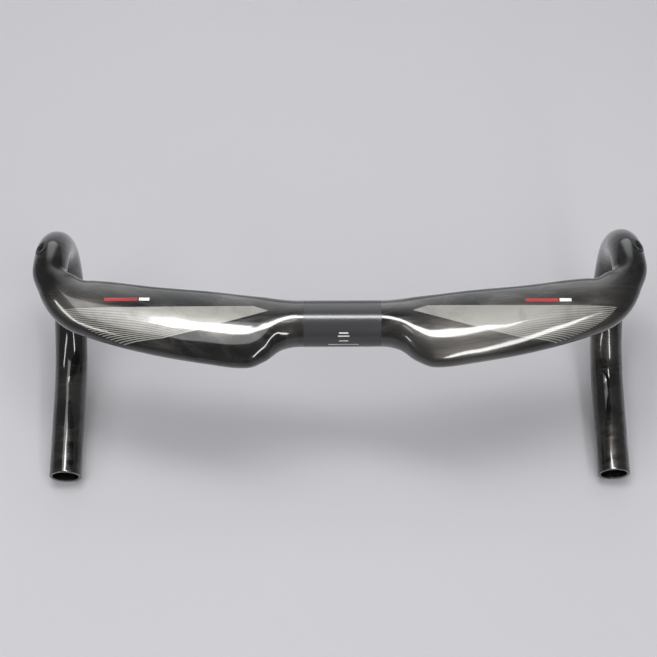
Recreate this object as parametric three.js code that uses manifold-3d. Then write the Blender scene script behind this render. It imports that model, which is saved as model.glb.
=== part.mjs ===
// Drop handlebar for a road bicycle: a moulded carbon bar with flattened wing tops.
// Frame: X to the rider's right, Y forward, Z up, millimetres; the origin is the centre of the stem clamp.
import * as THREE from 'three';
import { ParametricGeometry } from 'three/addons/geometries/ParametricGeometry.js';
import * as BufferGeometryUtils from 'three/addons/utils/BufferGeometryUtils.js';
import Module from 'manifold-3d';

const wasm = await Module();
wasm.setup();

const degrees = THREE.MathUtils.degToRad;

// Driving dimensions, millimetres and degrees
const DROP_HALF_WIDTH = 200;        // centre plane to the centreline of a drop, a 400 mm bar
const CLAMP_RADIUS = 15.9;          // 31.8 mm stem clamp
const CLAMP_HALF_LENGTH = 28;       // round clamp zone, to each side of the centre plane
const TUBE_RADIUS = 11.9;           // 23.8 mm lever and tape zone
const WALL = 2.4;                   // laminate thickness
const GAP = 0.3;                    // clearance between pieces that are bonded or pressed together
const TOP_SWEEP = degrees(8.75);    // forward sweep of the top where it meets the corner
const CORNER_RADIUS = 31.5;         // bend from the top into the hook, in plan
const LEAD_RADIUS = 18;             // first bend of the hook, seen from the side
const LEAD_TURN = degrees(19);
const HOOK_RADIUS = 49;             // front of the hook, under the lever
const HOOK_TURN = degrees(92.5);
const LOWER_RADIUS = 78;            // lower curve, into the drop
const DROP_TILT = degrees(5);       // rearward fall of the straight drop
const DROP_LENGTH = 66;
const JOINT_OVERLAP = 13;           // half length of the sleeve bonded inside each drop joint
const SLEEVE_WALL = 1.6;
const CORE_HALF_LENGTH = 44;        // half length of the sleeve bonded inside the clamp zone
const LINER_RADIUS = 2.4;           // cable liner, outside
const LINER_WALL = 0.5;
const FILM = 0.3;                   // thickness of a printed transfer

// Wing section along the half bar. Columns: distance along the centreline, offset of the section to the
// rear, half chord, half height, fall of the trailing edge in degrees, exponent of the superellipse.
const WING_SECTIONS = [
  [28, 0, CLAMP_RADIUS, CLAMP_RADIUS, 0, 2],
  [40, 1, 18.1, 15.2, 1, 2],
  [50, 4.4, 22.9, 14.3, 4, 2],
  [62, 6.6, 25.9, 13.1, 6, 2.1],
  [90, 4.5, 26, 12.4, 6, 2.2],
  [130, 1.9, 24, 12, 6, 2.2],
  [168, -1.6, 20.9, 12, 5, 2.1],
  [204, -3.8, 14.1, 12, 2, 2],
];

// Cable ports: place on the half bar, and the half axes of the oval hole along and across the bar
const ENTRY_PORT = { station: 230, angle: degrees(56), halfLength: 5.5, halfWidth: 3.8 };
const EXIT_PORT = { station: 64, angle: degrees(215), halfLength: 6, halfWidth: 3.8 };
const PORT_REACH = 9;               // how far the tools that cut a port reach from the skin
const GROMMET_WALL = 1;
const GROMMET_LIP = 1.1;
const GROMMET_TAIL = 0.9;           // length of a grommet's sleeve inside the wall
const GROMMET_SPAN = 16;            // half length of the bar that a grommet is cut from

// Cable liner: depth below the skin where it meets each port, and its stations along the middle of the bar
const LINER_ENTRY = [{ back: 0.5, inset: 6.4 }, { back: 6, inset: 9.6 }];
const LINER_EXIT = [{ ahead: 8, inset: 8.6 }, { ahead: 1.5, inset: 6.2 }];
const LINER_STATIONS = [215, 202, 189, 176, 160, 140, 120, 100, 84];
const LINER_STEPS = 26;
const LINER_SIDES = 8;

// Printed transfers, outlined in plan on the upper face
const PANEL_FRONT_EDGE = 7;
const PANEL_OUTLINE = [[48.5, 2.6], [58.5, PANEL_FRONT_EDGE], [187, PANEL_FRONT_EDGE], [176, -3.4], [158, -11.8],
  [144, -16.8], [118, -15], [96, -10.4]];
const FLASH_DEPTH = 4.4;
const FLASHES = {
  left: { centre: 13, red: [137, 159.5], white: [129, 136] },
  right: { centre: 11, red: [125, 147], white: [148, 156] },
};

// Index rules on the clamp: outlined on a plane that faces rearwards, tilted from the plan about X
const INDEX_TILT = degrees(70);
const INDEX_LENGTH = [-8.5, 12.5];
const INDEX_HEIGHT = [-6.5, 5.6];

// Tessellation
const SIDES = 20;
const BEND_STEP = degrees(11);
const TOP_STEPS = 14;
const TOP_CROWDING = 0.65;          // share of the spacing that widens away from the clamp
const PORT_SEGMENTS = 8;

// --- Centreline of the right half bar: straight clamp, swept top, corner, hook, lower curve, drop ---

const topRadius = (DROP_HALF_WIDTH - CLAMP_HALF_LENGTH - CORNER_RADIUS * (1 - Math.sin(TOP_SWEEP)))
  / Math.sin(TOP_SWEEP);
const dropHeading = Math.PI - DROP_TILT;

// Each bend turns from one heading to another: in plan towards +Y, or in the hook's plane downwards.
const bends = [
  { plan: true, radius: topRadius, from: 0, to: TOP_SWEEP },
  { plan: true, radius: CORNER_RADIUS, from: TOP_SWEEP, to: Math.PI / 2 },
  { plan: false, radius: LEAD_RADIUS, from: 0, to: LEAD_TURN },
  { plan: false, radius: HOOK_RADIUS, from: LEAD_TURN, to: HOOK_TURN },
  { plan: false, radius: LOWER_RADIUS, from: HOOK_TURN, to: dropHeading },
];

// Moving frame at a heading: along the bar, side (rearward on the top, outward on the hook) and up.
function axesAt(plan, heading) {
  const c = Math.cos(heading);
  const s = Math.sin(heading);
  return plan
    ? { along: new THREE.Vector3(c, s, 0), side: new THREE.Vector3(s, -c, 0), up: new THREE.Vector3(0, 0, 1) }
    : { along: new THREE.Vector3(0, c, -s), side: new THREE.Vector3(1, 0, 0), up: new THREE.Vector3(0, s, c) };
}

// Point of a bend: its start, moved by its radius times the turn of the side axis in plan, or of the up
// axis in the hook.
function arcPoint(bend, heading) {
  const start = axesAt(bend.plan, bend.from);
  const here = axesAt(bend.plan, heading);
  const [a, b] = bend.plan ? [here.side, start.side] : [here.up, start.up];
  return bend.start.clone().addScaledVector(a, bend.radius).addScaledVector(b, -bend.radius);
}

let station = CLAMP_HALF_LENGTH;
let corner = new THREE.Vector3(CLAMP_HALF_LENGTH, 0, 0);
for (const bend of bends) {
  bend.start = corner;
  bend.first = station;
  station += bend.radius * (bend.to - bend.from);
  bend.last = station;
  corner = arcPoint(bend, bend.to);
}
const dropStart = { station, point: corner };
const barEnd = station + DROP_LENGTH;
const cornerStart = bends[1].first;
const cornerEnd = bends[1].last;

function centreline(at) {
  if (at <= CLAMP_HALF_LENGTH) return { point: new THREE.Vector3(at, 0, 0), ...axesAt(true, 0) };
  for (const bend of bends) {
    if (at > bend.last) continue;
    const heading = bend.from + (at - bend.first) / bend.radius;
    return { point: arcPoint(bend, heading), ...axesAt(bend.plan, heading) };
  }
  const axes = axesAt(false, dropHeading);
  const point = dropStart.point.clone().addScaledVector(axes.along, at - dropStart.station);
  return { point, ...axes };
}

// --- Section: a superellipse whose proportions follow a cubic through the table above ---

const sectionTable = [...WING_SECTIONS, [cornerEnd, 0, TUBE_RADIUS, TUBE_RADIUS, 0, 2]];
const sectionCurve = new THREE.CubicInterpolant(
  sectionTable.map((row) => row[0]),
  sectionTable.flatMap((row) => row.slice(1)),
  5,
);
sectionCurve.settings = { endingStart: THREE.ZeroSlopeEnding, endingEnd: THREE.ZeroSlopeEnding };

function section(at) {
  const [offset, halfChord, halfHeight, fall, power] = sectionCurve.evaluate(
    THREE.MathUtils.clamp(at, CLAMP_HALF_LENGTH, cornerEnd),
  );
  return { offset, halfChord, halfHeight, fall: degrees(fall), power };
}

// Point of the bar at a distance along the centreline and an angle round the section, sunk below the skin
// by an inset. Negative distances are the left half, mirrored.
function skinPoint(at, angle, inset, target = new THREE.Vector3()) {
  const frame = centreline(Math.abs(at));
  const { offset, halfChord, halfHeight, fall, power } = section(Math.abs(at));
  const c = Math.cos(angle);
  const s = Math.sin(angle);
  const a = (halfChord - inset) * Math.sign(c) * Math.abs(c) ** (2 / power);
  const b = (halfHeight - inset) * Math.sign(s) * Math.abs(s) ** (2 / power);
  target.copy(frame.point);
  target.addScaledVector(frame.side, offset + a * Math.cos(fall) + b * Math.sin(fall));
  target.addScaledVector(frame.up, b * Math.cos(fall) - a * Math.sin(fall));
  if (at < 0) target.x *= -1;
  return target;
}

// --- Solids ---

// Keeps only positions, merges the shared ones and turns the faces outwards.
function closed(geometry) {
  geometry.deleteAttribute('uv');
  geometry.deleteAttribute('normal');
  const merged = BufferGeometryUtils.mergeVertices(geometry, 1e-4);
  const kept = [];
  const index = merged.index.array;
  const points = merged.attributes.position;
  const [a, b, c] = [new THREE.Vector3(), new THREE.Vector3(), new THREE.Vector3()];
  let volume = 0;
  for (let i = 0; i < index.length; i += 3) {
    const [p, q, r] = [index[i], index[i + 1], index[i + 2]];
    if (p === q || q === r || r === p) continue;
    kept.push(p, q, r);
    volume += a.fromBufferAttribute(points, p).dot(
      b.fromBufferAttribute(points, q).cross(c.fromBufferAttribute(points, r)),
    );
  }
  if (volume < 0) kept.reverse();
  merged.setIndex(kept);
  return merged;
}

function toSolid(geometry) {
  const merged = closed(geometry);
  return new wasm.Manifold(new wasm.Mesh({
    numProp: 3,
    vertProperties: new Float32Array(merged.attributes.position.array),
    triVerts: new Uint32Array(merged.index.array),
  }));
}

function toGeometry(solid) {
  const mesh = solid.getMesh();
  const geometry = new THREE.BufferGeometry();
  geometry.setAttribute('position', new THREE.BufferAttribute(mesh.vertProperties, 3));
  geometry.setIndex(new THREE.BufferAttribute(mesh.triVerts, 1));
  return geometry;
}

// A closed surface through rings of points: the last ring joins the first.
function ringSurface(rings, sides, pointOf) {
  return new ParametricGeometry((u, v, target) => {
    const ring = rings[Math.round(v * rings.length) % rings.length];
    const side = Math.round(u * sides) % sides;
    pointOf(ring, (2 * Math.PI * side) / sides, target);
  }, sides, rings.length);
}

// Stations of the facets: crowded near the clamp, where the section changes fast, even on each bend.
const facetStations = [];
for (let i = 0; i < TOP_STEPS; i += 1) {
  const t = i / TOP_STEPS;
  const share = (1 - TOP_CROWDING) * t + TOP_CROWDING * t * t;
  facetStations.push(CLAMP_HALF_LENGTH + share * (cornerStart - CLAMP_HALF_LENGTH));
}
for (const bend of bends.slice(1)) {
  const steps = Math.ceil((bend.to - bend.from) / BEND_STEP);
  for (let i = 0; i < steps; i += 1) facetStations.push(bend.first + (i / steps) * (bend.last - bend.first));
}
facetStations.push(dropStart.station);

function stationsBetween(first, last) {
  const margin = 0.6;
  return [first, ...facetStations.filter((at) => at > first + margin && at < last - margin), last];
}

// Tube wall between two insets, open at both ends, with flat ring-shaped end faces.
function tubeWall(stations, outerInset, innerInset) {
  const outer = stations.map((at) => ({ at, inset: outerInset }));
  const inner = stations.map((at) => ({ at, inset: innerInset })).reverse();
  return ringSurface([...outer, ...inner], SIDES, (ring, angle, target) => {
    skinPoint(ring.at, angle, ring.inset, target);
  });
}

// Oval prism through the wall at a port, grown by a margin, from one height above the skin to another.
function portPrism(port, margin, low, high) {
  const shape = new THREE.Shape();
  shape.absellipse(0, 0, port.halfLength + margin, port.halfWidth + margin, 0, 2 * Math.PI);
  const prism = new THREE.ExtrudeGeometry(shape, {
    depth: high - low, bevelEnabled: false, curveSegments: PORT_SEGMENTS,
  });
  prism.translate(0, 0, low);
  const along = centreline(port.station).along;
  const step = 0.01;
  const around = skinPoint(port.station, port.angle + step, 0).sub(skinPoint(port.station, port.angle - step, 0));
  const outward = around.clone().cross(along).normalize();
  const middle = skinPoint(port.station, port.angle, WALL).sub(skinPoint(port.station, port.angle, 0));
  if (outward.dot(middle) > 0) outward.negate();
  const across = outward.clone().cross(along).normalize();
  const lengthwise = across.clone().cross(outward);
  prism.applyMatrix4(new THREE.Matrix4().makeBasis(lengthwise, across, outward));
  prism.translate(...skinPoint(port.station, port.angle, 0).toArray());
  return toSolid(prism);
}

function wallWithPort(first, last, port) {
  const wall = toSolid(tubeWall(stationsBetween(first, last), 0, WALL));
  return toGeometry(wall.subtract(portPrism(port, 0, -PORT_REACH, PORT_REACH)));
}

// Rubber ring in a port: a sleeve through the wall with a thin lip that lies on the skin.
function grommet(port) {
  const span = stationsBetween(port.station - GROMMET_SPAN, port.station + GROMMET_SPAN);
  const sleeve = toSolid(tubeWall(span, -GAP - FILM, WALL + GROMMET_TAIL)).intersect(
    portPrism(port, -GAP, -PORT_REACH, PORT_REACH),
  );
  const lip = toSolid(tubeWall(span, -GAP - FILM, -GAP)).intersect(
    portPrism(port, GROMMET_LIP, -PORT_REACH, PORT_REACH),
  );
  const bore = portPrism(port, -GAP - GROMMET_WALL, -PORT_REACH, PORT_REACH);
  return toGeometry(sleeve.add(lip).subtract(bore));
}

// Cable liner: a thin tube that drops in from the entry port, follows the bar and leaves at the exit port.
function cableLiner() {
  const middle = (at) => {
    const frame = centreline(at);
    return frame.point.addScaledVector(frame.side, section(at).offset);
  };
  const route = new THREE.CatmullRomCurve3([
    ...LINER_ENTRY.map(({ back, inset }) => skinPoint(ENTRY_PORT.station - back, ENTRY_PORT.angle, inset)),
    ...LINER_STATIONS.map(middle),
    ...LINER_EXIT.map(({ ahead, inset }) => skinPoint(EXIT_PORT.station + ahead, EXIT_PORT.angle, inset)),
  ], false, 'centripetal');
  const frames = route.computeFrenetFrames(LINER_STEPS, false);
  const rings = [];
  for (let i = 0; i <= LINER_STEPS; i += 1) rings.push({ i, radius: LINER_RADIUS });
  for (let i = LINER_STEPS; i >= 0; i -= 1) rings.push({ i, radius: LINER_RADIUS - LINER_WALL });
  return closed(ringSurface(rings, LINER_SIDES, (ring, angle, target) => {
    route.getPointAt(ring.i / LINER_STEPS, target);
    target.addScaledVector(frames.normals[ring.i], ring.radius * Math.cos(angle));
    target.addScaledVector(frames.binormals[ring.i], ring.radius * Math.sin(angle));
  }));
}

// Printed transfer: a thin layer just above the skin, trimmed to an outline drawn in plan, or on a plane
// tilted from the plan about X.
function transfer(stations, outline, tilt = 0) {
  const layer = toSolid(tubeWall(stations, -GAP - FILM, -GAP));
  const shape = new THREE.Shape(outline.map(([x, y]) => new THREE.Vector2(x, y)));
  const prism = new THREE.ExtrudeGeometry(shape, { depth: 2 * CLAMP_RADIUS, bevelEnabled: false });
  prism.rotateX(tilt);
  return toGeometry(layer.intersect(toSolid(prism)));
}

function rectangle(x0, x1, y0, y1) {
  return [[x0, y0], [x1, y0], [x1, y1], [x0, y1]];
}

// --- Materials ---

function finish(colour, roughness, metalness) {
  return () => new THREE.MeshStandardMaterial({ color: colour, roughness, metalness });
}
const glossCarbon = finish(0x17181a, 0.12, 0);
const satinCarbon = finish(0x3c3f44, 0.42, 0);
const rawCarbon = finish(0x1c1d1f, 0.6, 0);
const rubber = finish(0x101010, 0.75, 0);
const linerPlastic = finish(0xd8d8d2, 0.45, 0);
const silverPrint = finish(0xbfbdb4, 0.3, 0);
const redPrint = finish(0xb3161c, 0.3, 0);
const whitePrint = finish(0xe6e6e4, 0.3, 0);

// --- Assembly ---

const handlebar = new THREE.Group();

function add(parent, name, geometry, material) {
  const mesh = new THREE.Mesh(geometry, material());
  mesh.name = name;
  parent.add(mesh);
}

const clampStations = [-CLAMP_HALF_LENGTH + GAP / 2, CLAMP_HALF_LENGTH - GAP / 2];
add(handlebar, 'clamp_section', closed(tubeWall(clampStations, 0, WALL)), satinCarbon);

const coreHalf = stationsBetween(CLAMP_HALF_LENGTH, CORE_HALF_LENGTH);
const coreStations = [...coreHalf.map((at) => -at).reverse(), ...coreHalf];
add(handlebar, 'clamp_core', closed(tubeWall(coreStations, WALL + GAP, WALL + GAP + SLEEVE_WALL)), rawCarbon);

const indexOutline = rectangle(...INDEX_LENGTH, ...INDEX_HEIGHT);
add(handlebar, 'clamp_index_transfer', transfer(clampStations, indexOutline, INDEX_TILT), whitePrint);

const jointStart = cornerStart - GAP / 2;
const wing = wallWithPort(CLAMP_HALF_LENGTH + GAP / 2, jointStart, EXIT_PORT);
const drop = wallWithPort(cornerStart + GAP / 2, barEnd, ENTRY_PORT);
const sleeveStations = stationsBetween(cornerStart - JOINT_OVERLAP, cornerStart + JOINT_OVERLAP);
const jointSleeve = closed(tubeWall(sleeveStations, WALL + GAP, WALL + GAP + SLEEVE_WALL));
const entryGrommet = grommet(ENTRY_PORT);
const exitGrommet = grommet(EXIT_PORT);
const liner = cableLiner();
const topStations = stationsBetween(CLAMP_HALF_LENGTH + GAP, cornerEnd);
const panel = transfer(topStations, PANEL_OUTLINE);

for (const side of ['left', 'right']) {
  const half = new THREE.Group();
  half.scale.x = side === 'left' ? -1 : 1;
  handlebar.add(half);
  const { centre, red, white } = FLASHES[side];
  const flash = ([x0, x1]) => transfer(
    topStations,
    rectangle(x0, x1, centre - FLASH_DEPTH / 2, centre + FLASH_DEPTH / 2),
  );
  add(half, `${side}_top_wing`, wing, glossCarbon);
  add(half, `${side}_drop`, drop, glossCarbon);
  add(half, `${side}_joint_sleeve`, jointSleeve, rawCarbon);
  add(half, `${side}_entry_grommet`, entryGrommet, rubber);
  add(half, `${side}_exit_grommet`, exitGrommet, rubber);
  add(half, `${side}_cable_liner`, liner, linerPlastic);
  add(half, `${side}_panel_transfer`, panel, silverPrint);
  add(half, `${side}_red_transfer`, flash(red), redPrint);
  add(half, `${side}_white_transfer`, flash(white), whitePrint);
}

export default handlebar;
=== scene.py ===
"""Drop handlebar: the visible pieces of a carbon road bar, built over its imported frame."""
import math

import bpy
import numpy as np
from bpy.props import FloatProperty, FloatVectorProperty, IntProperty, PointerProperty
from mathutils import Matrix, Vector


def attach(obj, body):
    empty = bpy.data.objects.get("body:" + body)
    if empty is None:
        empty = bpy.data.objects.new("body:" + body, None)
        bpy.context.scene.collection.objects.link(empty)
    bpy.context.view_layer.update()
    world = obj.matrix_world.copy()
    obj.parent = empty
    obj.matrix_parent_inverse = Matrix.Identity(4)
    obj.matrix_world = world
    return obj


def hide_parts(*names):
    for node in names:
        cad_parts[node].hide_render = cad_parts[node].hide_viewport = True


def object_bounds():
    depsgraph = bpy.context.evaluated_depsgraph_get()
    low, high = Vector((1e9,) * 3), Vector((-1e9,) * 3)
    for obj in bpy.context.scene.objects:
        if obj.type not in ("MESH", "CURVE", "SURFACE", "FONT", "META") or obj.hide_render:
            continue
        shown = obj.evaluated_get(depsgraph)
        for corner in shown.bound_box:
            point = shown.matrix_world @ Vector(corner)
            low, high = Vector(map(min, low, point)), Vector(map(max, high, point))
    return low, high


bl_info = {
    "name": "Drop handlebar",
    "version": (1, 0, 0),
    "blender": (4, 5, 0),
    "location": "View3D > Sidebar > Handlebar",
    "description": "Builds a carbon road drop bar with aero tops, piece by piece, over its frame",
    "category": "Object",
}

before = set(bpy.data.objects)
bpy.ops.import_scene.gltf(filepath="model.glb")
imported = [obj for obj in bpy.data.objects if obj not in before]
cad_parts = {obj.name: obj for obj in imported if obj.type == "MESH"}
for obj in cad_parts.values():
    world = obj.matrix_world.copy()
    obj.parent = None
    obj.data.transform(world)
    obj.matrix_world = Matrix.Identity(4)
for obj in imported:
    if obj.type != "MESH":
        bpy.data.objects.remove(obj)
cad_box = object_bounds()

MM = 0.001
BODY = "root"
SIDES = (("left", -1), ("right", 1))
CREASE = math.radians(40)

# The bar's driving dimensions, millimetres and degrees. They are the frame's own.
DROP_HALF_WIDTH = 200
CLAMP_RADIUS = 15.9
CLAMP_HALF_LENGTH = 28
TUBE_RADIUS = 11.9
WALL = 2.4
TOP_SWEEP = math.radians(8.75)
CORNER_RADIUS = 31.5
LEAD_RADIUS, LEAD_TURN = 18, math.radians(19)
HOOK_RADIUS, HOOK_TURN = 49, math.radians(92.5)
LOWER_RADIUS = 78
DROP_TILT = math.radians(5)
DROP_LENGTH = 66
SLEEVE_GAP, SLEEVE_WALL = 0.3, 1.6
CORE_HALF_LENGTH = 44
JOINT_OVERLAP = 13
LINER_RADIUS, LINER_WALL = 2.4, 0.5

# Wing section along the half bar: distance along the centreline, offset to the rear, half chord,
# half height, fall of the trailing edge in degrees, exponent of the superellipse.
WING_SECTIONS = np.array([
    [28, 0, 15.9, 15.9, 0, 2],
    [40, 1, 18.1, 15.2, 1, 2],
    [50, 4.4, 22.9, 14.3, 4, 2],
    [62, 6.6, 25.9, 13.1, 6, 2.1],
    [90, 4.5, 26, 12.4, 6, 2.2],
    [130, 1.9, 24, 12, 6, 2.2],
    [168, -1.6, 20.9, 12, 5, 2.1],
    [204, -3.8, 14.1, 12, 2, 2],
])

# Cable ports: station, angle round the section, half length and half width of the oval hole
ENTRY_PORT = (230, math.radians(56), 5.5, 3.8)
EXIT_PORT = (64, math.radians(215), 6, 3.8)


# --- The bar's surface ---------------------------------------------------------------------------

TOP_RADIUS = (DROP_HALF_WIDTH - CLAMP_HALF_LENGTH - CORNER_RADIUS * (1 - math.sin(TOP_SWEEP))) \
    / math.sin(TOP_SWEEP)
DROP_HEADING = math.pi - DROP_TILT

# Each bend: is it in plan, its radius, its first and last heading
BENDS = (
    (True, TOP_RADIUS, 0, TOP_SWEEP),
    (True, CORNER_RADIUS, TOP_SWEEP, math.pi / 2),
    (False, LEAD_RADIUS, 0, LEAD_TURN),
    (False, HOOK_RADIUS, LEAD_TURN, HOOK_TURN),
    (False, LOWER_RADIUS, HOOK_TURN, DROP_HEADING),
)
MARKS = CLAMP_HALF_LENGTH + np.concatenate([[0], np.cumsum([r * (b - a) for _, r, a, b in BENDS])])
CORNER_START, CORNER_END, DROP_START = MARKS[1], MARKS[2], MARKS[5]
BAR_END = DROP_START + DROP_LENGTH


def axes_at(plan, heading):
    """Along, side and up axes at a heading.

    In plan: along = (cos h, sin h, 0), side = (sin h, -cos h, 0), up = Z.
    On the hook: along = (0, cos h, -sin h), side = X, up = (0, sin h, cos h).
    """
    c, s, zero = np.cos(heading), np.sin(heading), np.zeros_like(heading)
    one = zero + 1
    if plan:
        axes = ((c, s, zero), (s, -c, zero), (zero, zero, one))
    else:
        axes = ((zero, c, -s), (one, zero, zero), (zero, s, c))
    return tuple(np.stack(axis, -1) for axis in axes)


def centreline(station):
    """Points and axes of the half bar at distances along it, for whole arrays.

    The clamp is the line (s, 0, 0). On a bend that starts at point P and heading a, the point is
    P + R (n(h) - n(a)), with n the side axis in plan and the up axis on the hook, and
    h = a + (s - first) / R. The drop is the line that leaves the last bend.
    """
    station = np.asarray(station, float)
    heading = np.zeros_like(station)
    along, side, up = axes_at(True, heading)
    point = station[..., None] * along
    start = np.array([CLAMP_HALF_LENGTH, 0.0, 0.0])
    for (plan, radius, first, last), mark in zip(BENDS, MARKS):
        here = (station > mark)[..., None]
        turn = np.clip(first + (station - mark) / radius, first, last)
        axes = axes_at(plan, turn)
        ends = axes_at(plan, np.array([first, last]))
        normal = 1 if plan else 2
        on_bend = start + radius * (axes[normal] - ends[normal][0])
        point = np.where(here, on_bend, point)
        along, side, up = (np.where(here, new, old) for new, old in zip(axes, (along, side, up)))
        start = start + radius * (ends[normal][1] - ends[normal][0])
    past = np.maximum(station - DROP_START, 0)[..., None]
    return point + past * along, along, side, up


def section(station):
    """Section values at distances along the bar.

    A cubic Hermite curve runs through the table, with the slope at each row equal to the slope
    between its two neighbours, and level at both ends.
    """
    last = [CORNER_END, 0, TUBE_RADIUS, TUBE_RADIUS, 0, 2]
    rows = np.vstack([WING_SECTIONS, last])
    knots, values = rows[:, 0], rows[:, 1:]
    slopes = np.zeros_like(values)
    slopes[1:-1] = (values[2:] - values[:-2]) / (knots[2:] - knots[:-2])[:, None]
    at = np.clip(station, knots[0], knots[-1])
    i = np.clip(np.searchsorted(knots, at, side="right") - 1, 0, len(knots) - 2)
    span = (knots[i + 1] - knots[i])[..., None]
    t = (at - knots[i])[..., None] / span
    return ((2 * t ** 3 - 3 * t ** 2 + 1) * values[i] + (t ** 3 - 2 * t ** 2 + t) * span * slopes[i]
            + (3 * t ** 2 - 2 * t ** 3) * values[i + 1] + (t ** 3 - t ** 2) * span * slopes[i + 1])


# Waves of the lacquer: lobes round the section, millimetres along per radian, phase, share
RIPPLES = (
    (3, 9.0, 0.4, 0.18), (5, -6.1, 2.9, 0.17), (7, 11.3, 1.3, 0.16), (9, -4.3, 5.1, 0.15),
    (12, 7.7, 3.7, 0.13), (15, 3.4, 0.9, 0.11), (19, -5.2, 4.4, 0.10),
)
RIPPLE_FADE = 6.0


def ripple(station, angle, height):
    """Gentle unevenness of the lacquer: a sum of sines of (lobes x angle + station / length),
    faded in over a few millimetres from the clamp's edge."""
    waves = sum(share * np.sin(lobes * angle + station / length + phase)
                for lobes, length, phase, share in RIPPLES)
    fade = np.clip((np.abs(station) - CLAMP_HALF_LENGTH) / RIPPLE_FADE, 0, 1)
    return height * fade * waves


def skin(station, angle, inset=0.0, wave=0.0):
    """Surface point in millimetres at a distance along the bar and an angle round its section.

    The section is the superellipse x = a sgn(c)|c|^(2/n), y = b sgn(s)|s|^(2/n), with both half
    axes shortened by the inset, turned by the fall of the trailing edge and set off to the rear.
    A negative distance mirrors the point to the other half.
    """
    station, angle, inset = np.broadcast_arrays(np.asarray(station, float), angle, inset)
    point, _, side, up = centreline(np.abs(station))
    values = section(np.abs(station))
    offset, half_chord, half_height, fall, power = np.moveaxis(values, -1, 0)
    inset = inset - ripple(station, angle, wave)
    c, s = np.cos(angle), np.sin(angle)
    a = (half_chord - inset) * np.sign(c) * np.abs(c) ** (2 / power)
    b = (half_height - inset) * np.sign(s) * np.abs(s) ** (2 / power)
    fall = np.radians(fall)
    across = offset + a * np.cos(fall) + b * np.sin(fall)
    rise = b * np.cos(fall) - a * np.sin(fall)
    point = point + across[..., None] * side + rise[..., None] * up
    point[..., 0] *= np.where(station < 0, -1, 1)
    return point


# Search for a plan position on the upper skin: difference step, largest moves, allowed angles
DIFFERENCE_STEP = 1e-3
NEWTON_STEPS = 12
MOST_ALONG, MOST_TURN = 6, 0.3
UPPER_ANGLES = (math.radians(4), math.radians(160))


def on_top(x, y, height, wave):
    """Points on the upper skin above plan positions (x, y), lifted by a height.

    Newton steps on (station, angle) until the skin's plan position matches: with A and B the
    plan derivatives by station and by angle and m the miss, the moves are (m x B) / (A x B) and
    (A x m) / (A x B).
    """
    x, y = np.broadcast_arrays(np.asarray(x, float), y)
    station = x + 0.0
    angle = np.full_like(x, math.radians(90))
    step = DIFFERENCE_STEP
    for _ in range(NEWTON_STEPS):
        here = skin(station, angle)[..., :2]
        by_station = (skin(station + step, angle)[..., :2] - here) / step
        by_angle = (skin(station, angle + step)[..., :2] - here) / step
        miss = np.stack([x, y], -1) - here
        area = turned(by_station, by_angle)
        along = turned(miss, by_angle) / area
        turn = turned(by_station, miss) / area
        station = station + np.clip(along, -MOST_ALONG, MOST_ALONG)
        angle = np.clip(angle + np.clip(turn, -MOST_TURN, MOST_TURN), *UPPER_ANGLES)
    return skin(station, angle, -height, wave)


def turned(first, second):
    """Plan cross product of two arrays of vectors: x1 y2 - y1 x2."""
    return first[..., 0] * second[..., 1] - first[..., 1] * second[..., 0]


# --- Meshes --------------------------------------------------------------------------------------

def grid_faces(rings, sides):
    """Quads of a grid that closes on itself both ways."""
    index = np.arange(rings * sides).reshape(rings, sides)
    onward = np.roll(index, -1, axis=0)
    corners = [index, np.roll(index, -1, axis=1), np.roll(onward, -1, axis=1), onward]
    return np.stack(corners, -1).reshape(-1, 4)


def sheet_faces(rows, columns):
    """Quads of an open grid."""
    index = np.arange(rows * columns).reshape(rows, columns)
    corners = [index[:-1, :-1], index[:-1, 1:], index[1:, 1:], index[1:, :-1]]
    return np.stack(corners, -1).reshape(-1, 4)


def signed_volume(points, faces):
    """Six times the volume inside a closed quad mesh: the sum of its corner triple products."""
    a, b, c, d = (points[faces[:, k]] for k in range(4))
    return np.sum(np.cross(a, b) * c) + np.sum(np.cross(a, c) * d)


def new_piece(name, points, faces, material, uv=None):
    """A shaded mesh object from points in millimetres, its faces turned outwards."""
    if signed_volume(points, faces) < 0:
        faces = faces[:, ::-1]
        uv = None if uv is None else uv[:, ::-1]
    mesh = bpy.data.meshes.new(name)
    mesh.from_pydata(points * MM, [], faces)
    if uv is not None:
        layer = mesh.uv_layers.new(name="flow")
        layer.data.foreach_set("uv", np.ascontiguousarray(uv, dtype=np.float32).ravel())
    return shaded(name, mesh, material)


def shaded(name, mesh, material):
    """An object for a mesh: smooth, with edges sharper than the crease angle kept sharp."""
    mesh.validate()
    mesh.shade_smooth()
    mesh.set_sharp_from_angle(angle=CREASE)
    mesh.materials.append(material)
    piece = bpy.data.objects.new(name, mesh)
    bpy.context.scene.collection.objects.link(piece)
    return piece


def with_modifiers(piece):
    """Replaces a piece's mesh with the result of its modifiers, its sharp edges found again."""
    bpy.context.view_layer.update()
    evaluated = piece.evaluated_get(bpy.context.evaluated_depsgraph_get())
    finished = bpy.data.meshes.new_from_object(evaluated)
    piece.modifiers.clear()
    piece.data = finished
    finished.set_sharp_from_angle(angle=CREASE)


def settle(piece, slot, *nodes):
    """Ties a finished piece to the body and hides the frame nodes that it stands for; the slot is not
    used.
    """
    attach(piece, BODY)
    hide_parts(*nodes)


ROUND_POINTS = 5
SAME_POINT = 1e-6


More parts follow.
